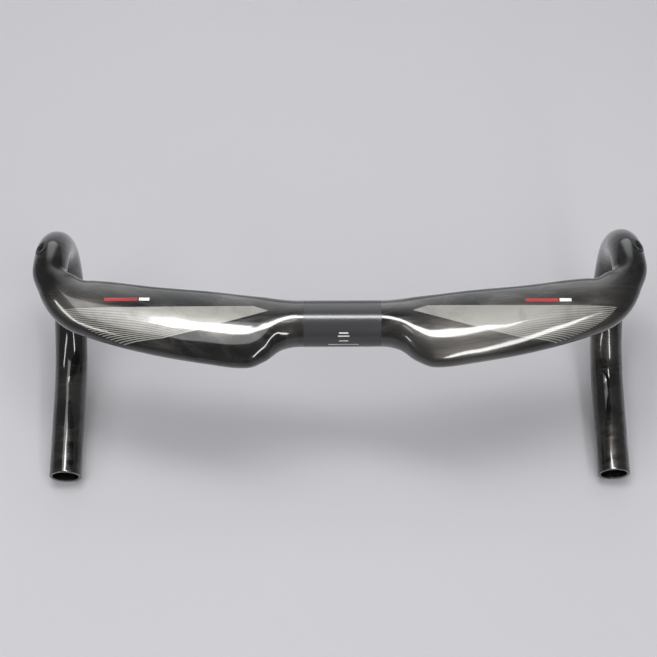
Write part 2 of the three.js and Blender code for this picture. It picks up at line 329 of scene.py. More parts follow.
def wall_profile(first, last, outer, inner, outer_step, inner_step, first_round=0.5, last_round=0.5):
    """Closed profile of a tube wall as (station, inset) pairs.

    The outer face runs from first to last, a quarter circle of the given radius turns it into the
    end face, and the inner face runs back. A radius of zero leaves that end square.
    """
    arc = np.linspace(0, math.pi / 2, ROUND_POINTS)
    near = last - last_round * (1 - np.sin(arc)), last_round * (1 - np.cos(arc))
    far = first + first_round * (1 - np.sin(arc)), first_round * (1 - np.cos(arc))
    straight = last - first - first_round - last_round
    ahead = np.linspace(first + first_round, last - last_round, math.ceil(straight / outer_step) + 1)
    back = np.linspace(last - last_round, first + first_round, math.ceil(straight / inner_step) + 1)
    station = np.concatenate([ahead, near[0], near[0][::-1], back, far[0], far[0][::-1]])
    inset = np.concatenate([
        np.full(ahead.shape, outer), outer + near[1], inner - near[1][::-1],
        np.full(back.shape, inner), inner - far[1], outer + far[1][::-1]])
    apart = np.hypot(station - np.roll(station, 1), inset - np.roll(inset, 1)) > SAME_POINT
    return station[apart], inset[apart]


# How far the finished faces lie inside the frame's skin, and the lacquer's lips over the clamp:
# their lengths, the radius and the wander of their edges, and the gap under them
LACQUER_INSET, SATIN_INSET = 0.10, 0.16
LIPS = {"left": 3.2, "right": 0.8}
LIP_EDGE, LIP_WANDER = 0.12, 0.25
SEAT = 0.01
WANDER_FADE = 0.7
UV_UNIT = 100


def lipped_profile(lip, last):
    """Profile of a lacquered wing: as a tube wall, square at both ends, whose lacquer laps over
    the satin clamp zone by the length of its lip and ends there in a small round edge."""
    first = CLAMP_HALF_LENGTH + SEAT
    under = SATIN_INSET - SEAT
    station, inset = wall_profile(first, last, LACQUER_INSET, WALL, outer_step=0.8,
                                  inner_step=3.0, first_round=0, last_round=0)
    arc = np.linspace(0, math.pi / 2, ROUND_POINTS)
    tip = CLAMP_HALF_LENGTH - lip
    edge_station = tip + LIP_EDGE * (1 - np.cos(arc))
    edge_inset = under - (under - LACQUER_INSET) * np.sin(arc)
    top = np.linspace(tip + 2 * LIP_EDGE, first, 6)
    return (np.concatenate([station[:-1], [first], edge_station, top]),
            np.concatenate([inset[:-1], [under], edge_inset, np.full_like(top, LACQUER_INSET)]))


def tube_wall(name, side, profile, sides, material, wave=0.0, wander=0.0):
    """A hollow length of the bar: the profile carried round the section's angle.

    Ripple is only laid on the outer face. The part of the profile that lies on the clamp zone
    shifts along it by a sum of sines of the angle, so the lacquer's edge wanders a little. The UV
    map holds the distance along the bar and round it, in units of 100 mm.
    """
    station, inset = profile
    angle = np.linspace(0, 2 * math.pi, sides, endpoint=False)
    outside = np.where(inset < inset.min() + 0.01, wave, 0)
    lapped = np.clip((CLAMP_HALF_LENGTH - station) / WANDER_FADE, 0, 1) * wander
    shift = 0.5 * np.sin(5 * angle + 1) + 0.3 * np.sin(11 * angle) + 0.2 * np.sin(23 * angle + 2)
    where = station[:, None] + lapped[:, None] * shift[None, :]
    points = skin(where, angle[None, :], inset[:, None], outside[:, None]).reshape(-1, 3)
    points = points * (side, 1, 1)
    rings = len(station)
    faces = grid_faces(rings, sides)
    row, column = np.divmod(np.arange(rings * sides), sides)
    onward = (row + 1) % rings
    girth = 2 * math.pi * TUBE_RADIUS / UV_UNIT / sides
    u = np.stack([station[row], station[row], station[onward], station[onward]], -1) / UV_UNIT
    v = np.stack([column, column + 1, column + 1, column], -1) * girth
    return new_piece(name, points, faces, material, np.stack([u, v], -1))


def oval_on_skin(port, margin, height, count):
    """Rings that follow an oval port on the skin: its half axes grown by each margin, lifted by
    each height. Plan distances become station and angle by the skin's own stretch there."""
    station, angle, half_length, half_width = port
    step = DIFFERENCE_STEP
    along = skin(station + step, angle) - skin(station - step, angle)
    around = skin(station, angle + step) - skin(station, angle - step)
    turn = np.linspace(0, 2 * math.pi, count, endpoint=False)[None, :]
    margin, height = np.asarray(margin, float)[:, None], np.asarray(height, float)[:, None]
    stations = (half_length + margin) * np.cos(turn) * 2 * step / np.linalg.norm(along)
    angles = (half_width + margin) * np.sin(turn) * 2 * step / np.linalg.norm(around)
    return skin(station + stations, angle + angles, -height)


# A port: points round it, reach of its cut below and above the skin, how nearly the cut's flat
# ends close on themselves. Its ring: the lip's overhang and height, the bore's margin, the depth,
# the radius of the lip's edges, the slack in the hole and under the lip.
PORT_COUNT = 96
PORT_DEPTH, PORT_RISE = 3.3, 2
PORT_END_CLOSES = 0.999
RING_LIP, RING_TOP, RING_BORE, RING_DEPTH, RING_EDGE = 1.1, 0.5, -1.3, -3.2, 0.28
RING_SLACK, RING_SEAT = -0.03, 0.02
RING_EDGE_POINTS = 7


def cut_port(piece, port, side):
    """Cuts the oval port through a wall with a closed plug that follows the skin."""
    closed = -port[3] * PORT_END_CLOSES
    margins = np.array([closed, 0, 0, closed])
    heights = np.array([-PORT_DEPTH, -PORT_DEPTH, PORT_RISE, PORT_RISE])
    points = (oval_on_skin(port, margins, heights, PORT_COUNT) * (side, 1, 1)).reshape(-1, 3)
    plug = new_piece("port_plug", points, grid_faces(4, PORT_COUNT), piece.data.materials[0])
    cut = piece.modifiers.new("port", "BOOLEAN")
    cut.operation, cut.solver, cut.object = "DIFFERENCE", "EXACT", plug
    with_modifiers(piece)
    bpy.data.objects.remove(plug)


def port_ring(name, port, side, material):
    """Rubber ring: a closed profile of (margin from the hole's edge, height above the skin),
    carried round the oval. The lip's edges are rounded."""
    arc = np.linspace(0, math.pi / 2, RING_EDGE_POINTS)
    ahead, across = RING_EDGE * (1 - np.sin(arc)), RING_EDGE * (1 - np.cos(arc))
    margin = np.concatenate([
        [RING_BORE], RING_BORE + across, RING_LIP - ahead, [RING_LIP, RING_SLACK, RING_SLACK]])
    height = np.concatenate([
        [RING_DEPTH], RING_TOP - ahead, RING_TOP - across, [RING_SEAT, RING_SEAT, RING_DEPTH]])
    points = (oval_on_skin(port, margin, height, PORT_COUNT) * (side, 1, 1)).reshape(-1, 3)
    return new_piece(name, points, grid_faces(len(margin), PORT_COUNT), material)


def through(points, count):
    """Catmull-Rom curve through points.

    On the span from b to c, with neighbours a and d, p = (2b + (c-a) t + (2a-5b+4c-d) t^2
    + (3b-a-3c+d) t^3) / 2.
    """
    points = np.asarray(points, float)
    padded = np.vstack([2 * points[0] - points[1], points, 2 * points[-1] - points[-2]])
    t = np.linspace(0, len(points) - 1, count)
    i = np.minimum(t.astype(int), len(points) - 2)
    t = (t - i)[:, None]
    a, b, c, d = (padded[i + k] for k in range(4))
    square, cube = 2 * a - 5 * b + 4 * c - d, 3 * b - a - 3 * c + d
    return 0.5 * (2 * b + (c - a) * t + square * t ** 2 + cube * t ** 3)


# A cable liner's route: stations in the bar's middle, and (distance from the port, depth below
# the skin) of the points near each port
LINER_STATIONS = np.array([215, 202, 189, 176, 160, 140, 120, 100, 84.0])
LINER_ENTRY = ((-0.5, 6.4), (-6, 9.6))
LINER_EXIT = ((8, 8.6), (1.5, 6.2))
LINER_STEPS, LINER_SIDES = 220, 24


def cable_liner(name, side, material):
    """Thin tube: two circles, outside and inside, swept along the route between the ports."""
    point, _, across, _ = centreline(LINER_STATIONS)
    middle = point + section(LINER_STATIONS)[:, :1] * across
    entry = [skin(ENTRY_PORT[0] + ahead, ENTRY_PORT[1], depth) for ahead, depth in LINER_ENTRY]
    leave = [skin(EXIT_PORT[0] + ahead, EXIT_PORT[1], depth) for ahead, depth in LINER_EXIT]
    route = through(np.vstack([entry, middle, leave]), LINER_STEPS)
    along = np.gradient(route, axis=0)
    along /= np.linalg.norm(along, axis=1, keepdims=True)
    level = np.cross(along, (0, 0, 1.0))
    level /= np.linalg.norm(level, axis=1, keepdims=True)
    lift = np.cross(level, along)
    turn = np.linspace(0, 2 * math.pi, LINER_SIDES, endpoint=False)[None, :, None]
    ring = np.cos(turn) * level[:, None] + np.sin(turn) * lift[:, None]
    outer = route[:, None] + LINER_RADIUS * ring
    inner = route[:, None] + (LINER_RADIUS - LINER_WALL) * ring
    points = np.concatenate([outer, inner[::-1]]).reshape(-1, 3) * (side, 1, 1)
    return new_piece(name, points, grid_faces(2 * len(route), LINER_SIDES), material)


MERGE_DECIMALS = 4


def film(name, side, sheets, thickness, material):
    """A printed film: open grids of points on the skin, joined, then thickened outwards.

    Each sheet is an array (rows, columns, 3). Points that two sheets share are merged, and a
    Solidify modifier, applied at once, gives the thickness and the rims.
    """
    points, faces, offset = [], [], 0
    for sheet in sheets:
        faces.append(offset + sheet_faces(*sheet.shape[:2]))
        points.append(sheet.reshape(-1, 3))
        offset += len(points[-1])
    points, faces = np.concatenate(points) * (side, 1, 1), np.concatenate(faces)
    rounded = np.round(points, MERGE_DECIMALS)
    _, first, merged = np.unique(rounded, axis=0, return_index=True, return_inverse=True)
    points, faces = points[first], merged.reshape(-1)[faces]
    a, b, c = (points[faces[:, k]] for k in (0, 1, 2))
    if np.sum(np.cross(b - a, c - b)[:, 2]) < 0:
        faces = faces[:, ::-1]
    mesh = bpy.data.meshes.new(name)
    mesh.from_pydata(points * MM, [], faces)
    piece = shaded(name, mesh, material)
    solid = piece.modifiers.new("thickness", "SOLIDIFY")
    solid.thickness, solid.offset, solid.use_even_offset = thickness * MM, 1, False
    with_modifiers(piece)
    return piece


# --- Node groups ---------------------------------------------------------------------------------

def new_group(name, inputs, outputs):
    """An empty shader node group with typed, valued inputs and typed outputs."""
    group = bpy.data.node_groups.new(name, "ShaderNodeTree")
    for title, kind, value in inputs:
        socket = group.interface.new_socket(title, in_out="INPUT", socket_type=f"NodeSocket{kind}")
        if value is not None:
            socket.default_value = value
    for title, kind in outputs:
        group.interface.new_socket(title, in_out="OUTPUT", socket_type=f"NodeSocket{kind}")
    return group, group.nodes.new("NodeGroupInput"), group.nodes.new("NodeGroupOutput")


def node(tree, kind, links=(), **values):
    """A shader node: values set its properties or inputs, links feed its inputs."""
    made = tree.nodes.new(kind)
    for key, value in values.items():
        if hasattr(made, key):
            setattr(made, key, value)
        else:
            made.inputs[key.replace("_", " ")].default_value = value
    for key, source in dict(links).items():
        tree.links.new(source, made.inputs[key])
    return made


def maths(tree, operation, first, second):
    """One Math node; each operand is a socket or a number."""
    made = tree.nodes.new("ShaderNodeMath")
    made.operation = operation
    for slot, operand in enumerate((first, second)):
        if isinstance(operand, (int, float)):
            made.inputs[slot].default_value = operand
        else:
            tree.links.new(operand, made.inputs[slot])
    return made.outputs[0]


def stretch(tree, vector, scale):
    """A Mapping node that scales a vector."""
    made = node(tree, "ShaderNodeMapping", {"Vector": vector})
    made.inputs["Scale"].default_value = scale
    return made.outputs["Vector"]


def limits(tree, value, low, high, to_low=0.0, to_high=1.0, smooth=True):
    """A clamped Map Range of a value."""
    made = node(tree, "ShaderNodeMapRange", {"Value": value},
                interpolation_type="SMOOTHSTEP" if smooth else "LINEAR")
    titles = ("From Min", "From Max", "To Min", "To Max")
    for title, number in zip(titles, (low, high, to_low, to_high)):
        made.inputs[title].default_value = number
    return made.outputs["Result"]


WARP_DISTANCE = 0.028


def ply_marbling():
    """Cloudy plies seen through lacquer: warped, stretched noise cut into soft patches, with
    narrow folds where two plies meet."""
    group, given, result = new_group(
        "ply_marbling",
        [("Vector", "Vector", None), ("Scale", "Float", 22.0), ("Fold Scale", "Float", 60.0)],
        [("Patches", "Float"), ("Folds", "Float")])
    here = given.outputs["Vector"]
    warp = node(group, "ShaderNodeTexNoise", {"Vector": here, "Scale": given.outputs["Scale"]},
                Detail=2.0, Roughness=0.5)
    push = node(group, "ShaderNodeVectorMath", {0: warp.outputs["Color"]}, operation="SCALE")
    push.inputs["Scale"].default_value = WARP_DISTANCE
    moved = node(group, "ShaderNodeVectorMath", {0: here, 1: push.outputs[0]}).outputs[0]
    cloud = node(group, "ShaderNodeTexNoise", {"Vector": moved, "Scale": given.outputs["Scale"]},
                 Detail=5.0, Roughness=0.55, Distortion=0.6)
    fold = node(group, "ShaderNodeTexNoise", {"Vector": moved, "Scale": given.outputs["Fold Scale"]},
                Detail=3.0, Roughness=0.6, Distortion=1.2)
    ridge = maths(group, "ABSOLUTE", maths(group, "SUBTRACT", fold.outputs["Fac"], 0.5), 0.0)
    group.links.new(limits(group, cloud.outputs["Fac"], 0.38, 0.68), result.inputs["Patches"])
    group.links.new(limits(group, ridge, 0.07, 0.0), result.inputs["Folds"])
    return group


def fibre_grain():
    """Fine straight fibres: noise stretched thirty to one along the flow map."""
    group, given, result = new_group(
        "fibre_grain",
        [("Vector", "Vector", None), ("Density", "Float", 420.0)],
        [("Height", "Float"), ("Tone", "Float")])
    flow = stretch(group, given.outputs["Vector"], (0.033, 1.0, 1.0))
    fine = node(group, "ShaderNodeTexNoise", {"Vector": flow, "Scale": given.outputs["Density"]},
                Detail=3.0, Roughness=0.6)
    group.links.new(fine.outputs["Fac"], result.inputs["Height"])
    group.links.new(limits(group, fine.outputs["Fac"], 0.3, 0.7, smooth=False), result.inputs["Tone"])
    return group


def handling():
    """Traces of handling: sparse dust specks and broad faint smears."""
    group, given, result = new_group(
        "handling",
        [("Vector", "Vector", None), ("Speck Scale", "Float", 900.0), ("Smear Scale", "Float", 18.0)],
        [("Specks", "Float"), ("Smears", "Float")])
    here = given.outputs["Vector"]
    speck = node(group, "ShaderNodeTexVoronoi",
                 {"Vector": here, "Scale": given.outputs["Speck Scale"]})
    chosen = node(group, "ShaderNodeSeparateColor", {"Color": speck.outputs["Color"]})
    small = limits(group, speck.outputs["Distance"], 0.16, 0.06)
    rare = limits(group, chosen.outputs[0], 0.965, 0.97)
    smear = node(group, "ShaderNodeTexNoise",
                 {"Vector": here, "Scale": given.outputs["Smear Scale"]},
                 Detail=6.0, Roughness=0.62, Distortion=0.8)
    group.links.new(maths(group, "MULTIPLY", small, rare), result.inputs["Specks"])
    group.links.new(limits(group, smear.outputs["Fac"], 0.45, 0.75), result.inputs["Smears"])
    return group


GROUPS = {"ply_marbling": ply_marbling, "fibre_grain": fibre_grain, "handling": handling}


def shared(tree, name, vector, **values):
    """Places a shared node group, building it the first time, fed by a vector."""
    made = tree.nodes.new("ShaderNodeGroup")
    made.node_tree = bpy.data.node_groups.get(name) or GROUPS[name]()
    tree.links.new(vector, made.inputs["Vector"])
    for key, value in values.items():
        made.inputs[key.replace("_", " ")].default_value = value
    return made.outputs


# The clear lacquer over carbon and prints
COAT_ROUGHNESS, COAT_IOR = 0.08, 1.55


def new_material(name):
    """A material with its Principled shader: returns it, its tree, the shader and the texture
    coordinates."""
    material = bpy.data.materials.new(name)
    material.use_nodes = True
    tree = material.node_tree
    return material, tree, tree.nodes["Principled BSDF"], node(tree, "ShaderNodeTexCoord").outputs


def feed(tree, shader, base, rough, normal):
    """Links the base colour, the roughness and the normal of a shader."""
    for title, socket in (("Base Color", base), ("Roughness", rough), ("Normal", normal)):
        tree.links.new(socket, shader.inputs[title])


def lacquer_over(shader, weight):
    """Sets the clear lacquer over a shader's base."""
    shader.inputs["Coat Weight"].default_value = weight
    shader.inputs["Coat Roughness"].default_value = COAT_ROUGHNESS
    shader.inputs["Coat IOR"].default_value = COAT_IOR


def blend(tree, factor, first, second):
    """Colour mix; each colour is a socket or an RGB triple."""
    made = node(tree, "ShaderNodeMix", {"Factor": factor}, data_type="RGBA")
    for title, colour in ((6, first), (7, second)):
        if isinstance(colour, bpy.types.NodeSocket):
            tree.links.new(colour, made.inputs[title])
        else:
            made.inputs[title].default_value = (*colour, 1)
    return made.outputs[2]


def bump(tree, height, strength, distance):
    """A Bump node's normal for a height."""
    made = node(tree, "ShaderNodeBump", {"Height": height}, Strength=strength, Distance=distance)
    return made.outputs["Normal"]


# How strongly folds, fibres and specks colour the carbon, what smears add to its roughness, and
# how far the marbling, the sanding marks and the liner's drawing lines are drawn out along X
FOLD_SHARE, FIBRE_SHARE, SPECK_SHARE, SMEAR_ROUGHNESS = 0.18, 0.35, 0.35, 0.06
MARBLING_STRETCH, SANDING_STRETCH, DRAWING_STRETCH = (0.45, 1, 1), (0.12, 1, 1), (0.05, 1, 1)


def lacquered_carbon():
    """Black plies under thick clear lacquer: marbled base, fine fibres, mirror-like coat."""
    colours = bpy.context.scene.bar_colours
    material, tree, shader, places = new_material("lacquered_carbon")
    drawn_out = stretch(tree, places["Object"], MARBLING_STRETCH)
    marbling = shared(tree, "ply_marbling", drawn_out, Scale=26.0, Fold_Scale=34.0)
    fibres = shared(tree, "fibre_grain", places["UV"], Density=160.0)
    traces = shared(tree, "handling", places["Object"])
    base = blend(tree, marbling["Patches"], colours.carbon_dark, colours.carbon_light)
    base = blend(tree, maths(tree, "MULTIPLY", marbling["Folds"], FOLD_SHARE), base, colours.carbon_fold)
    base = blend(tree, maths(tree, "MULTIPLY", fibres["Tone"], FIBRE_SHARE), base, colours.carbon_dark)
    base = blend(tree, maths(tree, "MULTIPLY", traces["Specks"], SPECK_SHARE), base, colours.dust)
    rough = maths(tree, "ADD", limits(tree, marbling["Patches"], 0, 1, 0.42, 0.32),
                  maths(tree, "MULTIPLY", traces["Smears"], SMEAR_ROUGHNESS))
    feed(tree, shader, base, rough, bump(tree, fibres["Height"], 0.25, 0.00004))
    shader.inputs["Metallic"].default_value = 1.0
    lacquer_over(shader, 1.0)
    return material


def sanded_carbon():
    """Clamp zone without lacquer: fine sanded grain that scatters the light softly."""
    colours = bpy.context.scene.bar_colours
    material, tree, shader, places = new_material("sanded_carbon")
    traces = shared(tree, "handling", places["Object"], Smear_Scale=40.0)
    sanded = node(tree, "ShaderNodeTexNoise",
                  {"Vector": stretch(tree, places["Object"], SANDING_STRETCH)},
                  Scale=2600.0, Detail=2.0, Roughness=0.6)
    scratches = limits(tree, sanded.outputs["Fac"], 0.35, 0.7, 0.0, 0.5)
    base = blend(tree, traces["Smears"], colours.clamp_dark, colours.clamp_light)
    base = blend(tree, scratches, base, colours.clamp_light)
    feed(tree, shader, base, limits(tree, traces["Smears"], 0, 1, 0.20, 0.24),
         bump(tree, sanded.outputs["Fac"], 0.12, 0.00002))
    return material


def darkened(colour, share):
    """An RGB triple times a share."""
    return tuple(share * channel for channel in colour)


def bare_laminate():
    """Uncoated laminate inside the bar: matt, with a woven peel-ply texture."""
    colours = bpy.context.scene.bar_colours
    material, tree, shader, places = new_material("bare_laminate")
    weave = [node(tree, "ShaderNodeTexWave", {"Vector": places["Object"]},
                  bands_direction=way, Scale=420.0, Distortion=0.4, Detail=1.0).outputs["Fac"]
             for way in ("X", "Y")]
    cloth = maths(tree, "MULTIPLY", *weave)
    raised = darkened(colours.carbon_light, 0.3)
    feed(tree, shader, blend(tree, cloth, colours.carbon_dark, raised),
         limits(tree, cloth, 0, 1, 0.7, 0.5), bump(tree, cloth, 0.4, 0.0001))
    return material


def moulded_rubber():
    """Moulded rubber: nearly black, matt, with a fine pebbled skin and a little dust."""
    colours = bpy.context.scene.bar_colours
    material, tree, shader, places = new_material("moulded_rubber")
    traces = shared(tree, "handling", places["Object"], Smear_Scale=160.0)
    pebble = node(tree, "ShaderNodeTexNoise", {"Vector": places["Object"]},
                  Scale=2200.0, Detail=2.0)
    dusty = maths(tree, "MULTIPLY", traces["Smears"], 0.3)
    feed(tree, shader, blend(tree, dusty, colours.rubber, colours.clamp_dark),
         limits(tree, traces["Smears"], 0, 1, 0.42, 0.6),
         bump(tree, pebble.outputs["Fac"], 0.3, 0.00005))
    return material


def drawn_nylon():
    """Milky plastic of the cable liner, with faint drawing lines along it."""
    material, tree, shader, places = new_material("drawn_nylon")
    lines = node(tree, "ShaderNodeTexNoise",
                 {"Vector": stretch(tree, places["Object"], DRAWING_STRETCH)},
                 Scale=1500.0, Detail=2.0)
    feed(tree, shader, blend(tree, lines.outputs["Fac"], (0.62, 0.62, 0.58), (0.74, 0.74, 0.70)),
         limits(tree, lines.outputs["Fac"], 0.3, 0.7, 0.36, 0.48),
         bump(tree, lines.outputs["Fac"], 0.2, 0.00003))
    return material


def print_ink(name, colour, flake, coat):
    """Ink under lacquer: its colour mottled a little, its share of metallic flake, its gloss."""
    colours = bpy.context.scene.bar_colours
    material, tree, shader, places = new_material(name)
    traces = shared(tree, "handling", places["Object"], Smear_Scale=55.0)
    grain = node(tree, "ShaderNodeTexVoronoi", {"Vector": places["Object"]}, Scale=4200.0)
    base = blend(tree, traces["Smears"], colour, darkened(colour, 0.72))
    base = blend(tree, maths(tree, "MULTIPLY", traces["Specks"], 0.3), base, colours.dust)
    feed(tree, shader, base, limits(tree, grain.outputs["Distance"], 0.0, 0.6, 0.30, 0.46),
         bump(tree, grain.outputs["Distance"], 0.12, 0.00003))
    shader.inputs["Metallic"].default_value = flake
    lacquer_over(shader, coat)
    return material


def paper():
    """The floor's sheet of pale paper: even, faintly mottled, matt."""
    colours = bpy.context.scene.bar_colours
    material, tree, shader, places = new_material("paper")
    mottle = node(tree, "ShaderNodeTexNoise", {"Vector": places["Object"]},
                  Scale=2.2, Detail=3.0)
    base = blend(tree, mottle.outputs["Fac"], colours.floor, darkened(colours.floor, 0.94))
    tree.links.new(base, shader.inputs["Base Color"])
    shader.inputs["Roughness"].default_value = 0.8
    return material


MATERIALS = {
    "lacquered_carbon": lacquered_carbon,
    "sanded_carbon": sanded_carbon,
    "bare_laminate": bare_laminate,
    "moulded_rubber": moulded_rubber,
    "drawn_nylon": drawn_nylon,
    "silver_ink": lambda: print_ink("silver_ink", bpy.context.scene.bar_colours.silver, 0.35, 0.8),
    "red_ink": lambda: print_ink("red_ink", bpy.context.scene.bar_colours.red, 0.0, 0.35),
    "white_ink": lambda: print_ink("white_ink", bpy.context.scene.bar_colours.white, 0.0, 0.35),
    "paper": paper,
}


def material_for(name):
    """The material of that name, made the first time that it is asked for."""
    return bpy.data.materials.get(name) or MATERIALS[name]()


# --- Settings ------------------------------------------------------------------------------------

def metres(title, note, default):
    """A length setting in metres."""
    return FloatProperty(name=title, description=note, default=default, unit="LENGTH", precision=5)


def tint(title, note, default):
    """A linear RGB setting."""
    return FloatVectorProperty(name=title, description=note, default=default, subtype="COLOR", size=3,
                               min=0, max=1)


class BarSizes(bpy.types.PropertyGroup):
    """Fine sizes of the finished surface."""
    ripple: metres("Lacquer ripple", "Height of the waves in the clear lacquer", 0.00005)
    print_height: metres("Print height", "Height of a printed film's underside above the skin", 0.00001)
    print_thickness: metres("Print thickness", "Thickness of a printed film", 0.00005)
    stripes: IntProperty(name="Pinstripes", description="Number of stripes that each panel splits into",
                         default=21, min=4, max=60)
    stripe_share: FloatProperty(name="Stripe width",
                                description="Share of the pitch that a stripe keeps at its end",
                                default=0.42, min=0.1, max=0.9, subtype="FACTOR")


class BarColours(bpy.types.PropertyGroup):
    """Colours of the finishes."""
    carbon_dark: tint("Dark plies", "Carbon between the lighter plies", (0.005, 0.0047, 0.0045))
    carbon_light: tint("Light plies", "Lighter patches of the marbling", (0.075, 0.070, 0.064))
    carbon_fold: tint("Folds", "Narrow folds where plies meet", (0.095, 0.091, 0.086))
    clamp_dark: tint("Clamp, dark", "Satin clamp zone", (0.020, 0.020, 0.021))
    clamp_light: tint("Clamp, light", "Rubbed places of the clamp zone", (0.021, 0.021, 0.023))
    rubber: tint("Rubber", "Port rings", (0.010, 0.010, 0.010))
    silver: tint("Silver print", "Panels and pinstripes", (0.160, 0.155, 0.140))
    red: tint("Red print", "Longer bar in front of each panel", (0.185, 0.0035, 0.005))
    white: tint("White print", "Shorter bar and the clamp's rules", (0.44, 0.44, 0.43))
    dust: tint("Dust", "Specks on the surface", (0.14, 0.137, 0.13))
    floor: tint("Floor", "Paper under the bar", (0.262, 0.259, 0.272))


# --- Operators -----------------------------------------------------------------------------------

class PieceOperator:
    """Shared settings of the building operators."""
    bl_options = {"REGISTER", "UNDO"}


# The clamp's printed rules: place along the clamp, height of a rule, and for each rule its angle
# round the clamp in degrees and its length
RULE_CENTRE, RULE_HEIGHT = 2.0, 0.9
RULE_GRID = (24, 5)
RULES = ((38, 6.2), (29.5, 7.6), (14, 6.2), (-1, 20.5))
TUBE_SIDES, CLAMP_SIDES, SLEEVE_SIDES = 144, 128, 72


class HANDLEBAR_OT_clamp(PieceOperator, bpy.types.Operator):
    """Builds the satin clamp tube, the sleeve bonded inside it and the printed rules"""
    bl_idname = "handlebar.clamp"
    bl_label = "Clamp section"

    def execute(self, context):
        sizes = context.scene.bar_sizes
        edge = CLAMP_HALF_LENGTH
        profile = wall_profile(-edge, edge, SATIN_INSET, WALL, outer_step=1.0, inner_step=4.0,
                               first_round=0, last_round=0)
        tube = tube_wall("clamp_tube", 1, profile, CLAMP_SIDES, material_for("sanded_carbon"))
        settle(tube, "satin_carbon", "clamp_section")
        inner, edge = WALL + SLEEVE_GAP, CORE_HALF_LENGTH
        profile = wall_profile(-edge, edge, inner, inner + SLEEVE_WALL, outer_step=2.0,
                               inner_step=3.0)
        core = tube_wall("clamp_sleeve", 1, profile, SLEEVE_SIDES, material_for("bare_laminate"))
        settle(core, "raw_carbon", "clamp_core")
        lift, thick = sizes.print_height / MM - SATIN_INSET, sizes.print_thickness / MM
        half_turn = RULE_HEIGHT / 2 / CLAMP_RADIUS
        for row, (centre, wide) in enumerate(RULES, 1):
            turn = math.radians(centre) + np.linspace(-half_turn, half_turn, RULE_GRID[1])[None, :]
            along = RULE_CENTRE + np.linspace(-wide / 2, wide / 2, RULE_GRID[0])[:, None]
            sheet = skin(along, turn, -lift)
            rule = film(f"index_rule_{row}", 1, [sheet], thick, material_for("white_ink"))
            settle(rule, "white_print", "clamp_index_transfer")
        return {"FINISHED"}


class HANDLEBAR_OT_wings(PieceOperator, bpy.types.Operator):
    """Builds the two lacquered wing tops, each with its exit port"""
    bl_idname = "handlebar.wings"
    bl_label = "Wing tops"

    def execute(self, context):
        sizes = context.scene.bar_sizes
        for name, side in SIDES:
            profile = lipped_profile(LIPS[name], CORNER_START)
            wing = tube_wall(f"{name}_wing", side, profile, TUBE_SIDES,
                             material_for("lacquered_carbon"), sizes.ripple / MM, LIP_WANDER)
            cut_port(wing, EXIT_PORT, side)
            settle(wing, "gloss_carbon", f"{name}_top_wing")
        return {"FINISHED"}


class HANDLEBAR_OT_drops(PieceOperator, bpy.types.Operator):
    """Builds the two lacquered hooks with their drops and entry ports, and the joint sleeves"""
    bl_idname = "handlebar.drops"
    bl_label = "Hooks and drops"

    def execute(self, context):
        sizes = context.scene.bar_sizes
        profile = wall_profile(CORNER_START, BAR_END, LACQUER_INSET, WALL, outer_step=0.9,
                               inner_step=3.0, first_round=0, last_round=0.4)
        inner = WALL + SLEEVE_GAP
        overlap = wall_profile(CORNER_START - JOINT_OVERLAP, CORNER_START + JOINT_OVERLAP,
                               inner, inner + SLEEVE_WALL, outer_step=1.0, inner_step=2.0)
        for name, side in SIDES:
            drop = tube_wall(f"{name}_hook", side, profile, TUBE_SIDES,
                             material_for("lacquered_carbon"), sizes.ripple / MM)
            cut_port(drop, ENTRY_PORT, side)
            settle(drop, "gloss_carbon", f"{name}_drop")
            sleeve = tube_wall(f"{name}_bonded_sleeve", side, overlap, SLEEVE_SIDES,
                               material_for("bare_laminate"))
            settle(sleeve, "raw_carbon", f"{name}_joint_sleeve")
        return {"FINISHED"}


class HANDLEBAR_OT_ports(PieceOperator, bpy.types.Operator):
    """Builds the rubber rings of the cable ports and the liners between them"""
    bl_idname = "handlebar.ports"
    bl_label = "Cable ports"

    def execute(self, context):
        for name, side in SIDES:
            for title, port in (("entry", ENTRY_PORT), ("exit", EXIT_PORT)):
                ring = port_ring(f"{name}_{title}_ring", port, side, material_for("moulded_rubber"))
                settle(ring, "port_rubber", f"{name}_{title}_grommet")
            liner = cable_liner(f"{name}_liner", side, material_for("drawn_nylon"))
            settle(liner, "liner_plastic", f"{name}_cable_liner")
        return {"FINISHED"}


# Plan outline of a panel: its tip, front edge, end curve and rear edge, in millimetres
PANEL_TIP = np.array([48.5, 2.6])
PANEL_FRONT = np.array([PANEL_TIP, [58.5, 7], [187, 7]])
PANEL_REAR = np.array([PANEL_TIP, [96, -10.4], [118, -15], [144, -16.8]])
PANEL_END_BULGE = np.array([6.5, -0.4])
PANEL_ROWS, PANEL_START = 160, 0.004
# Shares of a panel's length at which its front and rear stripes part, and how the gaps open
SPLIT_FRONT, SPLIT_REAR = 0.66, 0.50
GAP_POWER = 0.8
# Small bars: their depth, and for each side the place ahead and the red and the white span
FLASH_DEPTH, FLASH_GRID = 2.4, (60, 8)
FLASHES = {"left": (13, (137, 159.5), (129, 136)), "right": (11, (125, 147), (148, 156))}


def edge_at(points, share):
    """Points along a polyline at shares of the plan distance in X from its first to its last."""
    x = points[0, 0] + share * (points[-1, 0] - points[0, 0])
    return np.stack([x, np.interp(x, points[:, 0], points[:, 1])], -1)


def panel_plan(share, across):
    """Plan position inside a panel: share runs from the tip to the end, across from front to rear.

    A straight blend of the two edges, pushed out towards the end by a parabola.
    """
    share, across = np.broadcast_arrays(share, across)
    front, rear = edge_at(PANEL_FRONT, share), edge_at(PANEL_REAR, share)
    across = across[..., None]
    bulge = 4 * across * (1 - across) * PANEL_END_BULGE * share[..., None] ** 2
    return (1 - across) * front + across * rear + bulge


